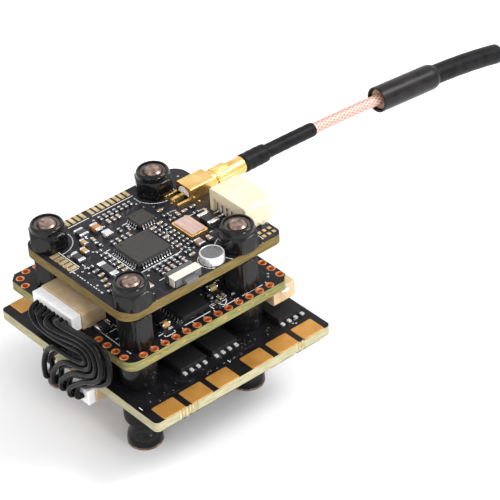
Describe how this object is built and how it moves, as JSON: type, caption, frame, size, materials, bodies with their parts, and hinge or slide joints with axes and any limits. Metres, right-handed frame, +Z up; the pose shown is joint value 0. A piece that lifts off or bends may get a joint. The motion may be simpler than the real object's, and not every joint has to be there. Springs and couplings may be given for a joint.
{
  "type": "flight controller stack",
  "caption": "Stack of square circuit boards on long screws with lock nuts: motor controller, flight controller and video transmitter, with a plug-in antenna and a folded wire harness.",
  "frame": {"origin": "centre of the square of four screws, in the plane of the undersides of the screw heads", "axes": "+Z up through the boards along the screws, +Y the way the antenna points, +X towards the edge with the bare solder pads"},
  "size_m": [0.0382, 0.0982, 0.0296],
  "materials": {
    "esc_laminate": "dark grey solder mask over pale laminate",
    "fc_laminate": "dark solder mask",
    "vtx_laminate": "dark grey solder mask",
    "gold_pads": "gold-plated copper",
    "copper_rings": "orange copper plating",
    "chip_plastic": "moulded epoxy",
    "tinned_metal": "tin plating",
    "small_ceramic": "ceramic with tinned ends",
    "crystal_plate": "gold plating",
    "crystal_lid": "satin",
    "can_metal": "bright",
    "felt": "felt",
    "switch_plastic": "moulded",
    "button_plastic": "moulded",
    "cover_steel": "satin",
    "jack_gold": "polished gold plating",
    "jack_insulator": "moulded",
    "heat_shrink": "satin",
    "coax_braid": "braided metal under a clear pink jacket",
    "antenna_sleeve": "gloss",
    "amber_core": "amber resin",
    "header_beige": "moulded",
    "header_ivory": "moulded",
    "plug_white": "moulded",
    "wire_black": "silicone",
    "screw_steel": "dark plated",
    "nut_black": "black oxide",
    "nylon": "nylon",
    "spacer_black": "black anodised",
    "rubber_black": "soft",
    "washer_gloss": "gloss",
    "usb_metal": "satin"
  },
  "bodies": {
    "stack": {"esc_board": "esc_laminate", "esc_solder_pads": "gold_pads", "esc_transistors": "chip_plastic", "esc_transistor_leads": "tinned_metal", "esc_small_parts": "chip_plastic", "fc_board": "fc_laminate", "fc_eyelets": "copper_rings", "fc_processor": "chip_plastic", "fc_display_chip": "chip_plastic", "fc_chip_leads": "tinned_metal", "fc_small_parts": "small_ceramic", "vtx_board": "vtx_laminate", "vtx_solder_pads": "gold_pads", "vtx_video_chip": "chip_plastic", "vtx_radio_chip": "chip_plastic", "vtx_chip_leads": "tinned_metal", "vtx_small_parts": "small_ceramic", "vtx_power_parts": "small_ceramic", "crystal_base": "crystal_plate", "crystal_lid": "crystal_lid", "microphone_can": "can_metal", "microphone_felt": "felt", "switch_housing": "switch_plastic", "switch_cover": "cover_steel", "jack_body": "jack_gold", "jack_insulator": "jack_insulator", "jack_contact": "jack_gold", "camera_header": "header_ivory", "harness_headers": "header_beige", "rear_header": "header_beige", "header_contacts": "tinned_metal", "screws": "screw_steel", "lock_nuts": "nut_black", "nut_rings": "nylon", "hex_standoffs": "spacer_black", "round_spacers": "spacer_black", "rubber_spacers": "rubber_black", "domed_washers": "washer_gloss", "boot_switch_housing": "switch_plastic", "usb_shell": "usb_metal", "usb_tongue": "chip_plastic"},
    "channel_button": {"switch_button": "button_plastic"},
    "boot_button": {"boot_button": "button_plastic"},
    "snap_ring": {"antenna_snap_ring": "jack_gold"},
    "antenna": {"antenna_plug": "jack_gold", "antenna_heat_shrink": "heat_shrink", "antenna_coax": "coax_braid", "antenna_sleeve": "antenna_sleeve", "antenna_core": "amber_core", "antenna_tip": "heat_shrink"},
    "harness": {"upper_plug": "plug_white", "lower_plug": "plug_white", "harness_wire_1": "wire_black", "harness_wire_2": "wire_black", "harness_wire_3": "wire_black", "harness_wire_4": "wire_black", "harness_wire_5": "wire_black", "harness_wire_6": "wire_black", "harness_wire_7": "wire_black", "harness_wire_8": "wire_black"}
  },
  "joints": [
    {"name": "channel_press", "type": "slide", "parent": "stack", "child": "channel_button", "axis": [-1, 0, 0], "range_m": [0, 0.00025], "stiffness_N_per_m": 4000},
    {"name": "boot_press", "type": "slide", "parent": "stack", "child": "boot_button", "axis": [0, 0, -1], "range_m": [0, 0.0002], "stiffness_N_per_m": 4000},
    {"name": "antenna_unplug", "type": "slide", "parent": "stack", "child": "snap_ring", "axis": [0, 1, 0], "range_m": [0, 0.005]},
    {"name": "antenna_turn", "type": "hinge", "parent": "snap_ring", "child": "antenna", "pos_m": [-0.00545, 0.0152, 0.0261], "axis": [0, 1, 0], "continuous": true},
    {"name": "harness_unplug", "type": "slide", "parent": "stack", "child": "harness", "axis": [0, -1, 0], "range_m": [0, 0.006]}
  ]
}
